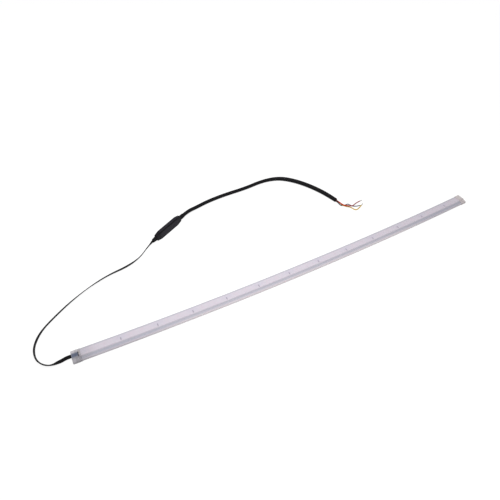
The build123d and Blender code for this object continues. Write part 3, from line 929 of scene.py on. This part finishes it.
def made_plain(tree, name, values):
    """The mesh that a tree of geometry nodes makes with the given values."""
    maker = bpy.data.objects.new(name, bpy.data.meshes.new(name))
    bpy.context.scene.collection.objects.link(maker)
    modifier = maker.modifiers.new("make", "NODES")
    modifier.node_group = tree
    for socket in tree.interface.items_tree:
        if socket.in_out == "INPUT":
            modifier[socket.identifier] = values[socket.name]
    evaluated = maker.evaluated_get(bpy.context.evaluated_depsgraph_get())
    mesh = bpy.data.meshes.new_from_object(evaluated)
    bpy.data.objects.remove(maker)
    return mesh


tin_finish, place = new_finish("tinned_copper", {"Metallic": 1.0})
dull = grain(place, 2600, 3.0)
link_finish(
    tin_finish,
    base_color=blend(dull, tone(*tin_grey), tone(*tin_grey, step=-40)),
    roughness=0.30 + dull * 0.2,
)
strands = strand_tree()
wire_outline = round_outline(wire_radius, wire_sides)
for name, near_colour, far_colour, wire_length, wire_route in wire_rows:
    wire_finish, place = new_finish(name + "_pvc", {"Specular IOR Level": 0.10})
    worn = grain(place, 900, 3.0)
    x, y, _ = axes(place)
    wire_colour = blend(rise(x, *fade_edge), tone(*near_colour), tone(*far_colour))
    in_shade = rise(y, *sheath_edge) * sheath_share
    wire_colour = blend(in_shade, wire_colour, tone(*sheath_shade))
    link_finish(
        wire_finish,
        base_color=blend(worn * worn_share, wire_colour, tone(*worn_grey)),
        roughness=0.34 + worn * 0.16,
        relief=grain(place, 5200),
        depth=0.00002,
    )
    wire_line = smooth_line(wire_route)
    wire = skin(name + "_insulated", rings_along(wire_line), wire_outline, wire_finish)
    bare = made_plain(
        strands,
        name + "_strands",
        {
            "Strands": strand_count,
            "Strand Radius": strand_radius,
            "Lay Radius": strand_lay,
            "Length": bare_length,
            "Turns": strand_turns,
            "Finish": tin_finish,
        },
    )
    wire_end = wire_line[-1]
    wire_way = (wire_end - wire_line[-2]).normalized()
    turned = wire_way.to_track_quat("Z", "Y").to_matrix().to_4x4()
    bare.transform(Matrix.Translation(wire_end) @ turned)
    bare.shade_smooth()
    tip = bpy.data.objects.new(name + "_strands", bare)
    bpy.context.scene.collection.objects.link(tip)
    for piece, node, slot in (
        (wire, name + "_wire", name + "_insulation"),
        (tip, name + "_wire_tip", "tinned_copper"),
    ):
        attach(piece, "root")
        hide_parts(node)


# Floor: a wide sheet of plain white paper that carries on out of view. Where the camera or a
# reflection sees it, it is white, and it keeps a faint shadow of what lies on it.
floor_half = 4.0
floor_drop = 0.00002
paper_seen = (0.22, 0.22, 0.22, 1.0)
paper_glow = 0.90
paper_bounce = (0.85, 0.85, 0.85, 1.0)


def seen_rays(tree):
    """1 for the rays of the camera, of reflections and of what is seen through a clear piece."""
    path = tree.nodes.new("ShaderNodeLightPath").outputs
    kinds = ("Is Camera Ray", "Is Glossy Ray", "Is Transmission Ray")
    camera, glossy, through = [Shade(tree, path[kind]) for kind in kinds]
    return camera + glossy + through


floor_mesh = bpy.data.meshes.new("floor")
corner_signs = ((-1, -1), (1, -1), (1, 1), (-1, 1))
floor_corners = [(floor_half * a, floor_half * b, -floor_drop) for a, b in corner_signs]
floor_mesh.from_pydata(floor_corners, [], [(0, 1, 2, 3)])
floor = bpy.data.objects.new("floor", floor_mesh)
bpy.context.scene.collection.objects.link(floor)
paper = bpy.data.materials.new("white_paper")
paper.use_nodes = True
paper_tree = paper.node_tree
paper_tree.nodes.clear()
rays = seen_rays(paper_tree)
seen = rays.node("ShaderNodeBsdfDiffuse", {}, {"Color": paper_seen})
glow = rays.node("ShaderNodeEmission", {}, {"Color": (1, 1, 1, 1), "Strength": paper_glow})
seen = rays.node("ShaderNodeAddShader", {}, {"Shader": seen, "Shader_001": glow})
plain = rays.node("ShaderNodeBsdfDiffuse", {}, {"Color": paper_bounce})
sheet = rays.node("ShaderNodeMixShader", {}, {"Fac": rays, "Shader": plain, "Shader_001": seen})
paper_output = paper_tree.nodes.new("ShaderNodeOutputMaterial")
paper_tree.links.new(sheet.socket, paper_output.inputs["Surface"])
floor_mesh.materials.append(paper)


# Light: a large soft panel over the middle of the strip, in a white room. The room is dimmer as a
# light than it looks: the camera and reflections see it white, like the floor.
room_strength = 0.45
panel_size = 0.36
panel_power = 1.38
panel_place = (-0.07, 0.02, 0.49)
room = bpy.data.worlds.new("white_room")
room.use_nodes = True
room_tree = room.node_tree
sky = room_tree.nodes["Background"].inputs
sky["Color"].default_value = (1, 1, 1, 1)
strength = seen_rays(room_tree) * (1 - room_strength) + room_strength
room_tree.links.new(strength.socket, sky["Strength"])
bpy.context.scene.world = room
panel_light = bpy.data.lights.new("panel", "AREA")
panel_light.shape = "SQUARE"
panel_light.size = panel_size
panel_light.energy = panel_power
panel = bpy.data.objects.new("panel", panel_light)
panel.location = panel_place
bpy.context.scene.collection.objects.link(panel)


# Camera: above the cable end and in front of the strip, looking along and down at it, where the
# photo's own was. The place and angles come from a fit to the strip's edges, ends and marks.
camera_place = (-0.2585, -0.3563, 0.5097)
camera_down = radians(46.88)
camera_right = radians(27.66)
camera_data = bpy.data.cameras.new("camera")
camera_data.lens = 36.0
camera_data.sensor_width = 36.0
camera = bpy.data.objects.new("camera", camera_data)
camera.location = camera_place
camera.rotation_euler = (pi / 2 - camera_down, 0.0, -camera_right)
bpy.context.scene.collection.objects.link(camera)
bpy.context.scene.camera = camera
bpy.context.scene.view_settings.view_transform = "Standard"
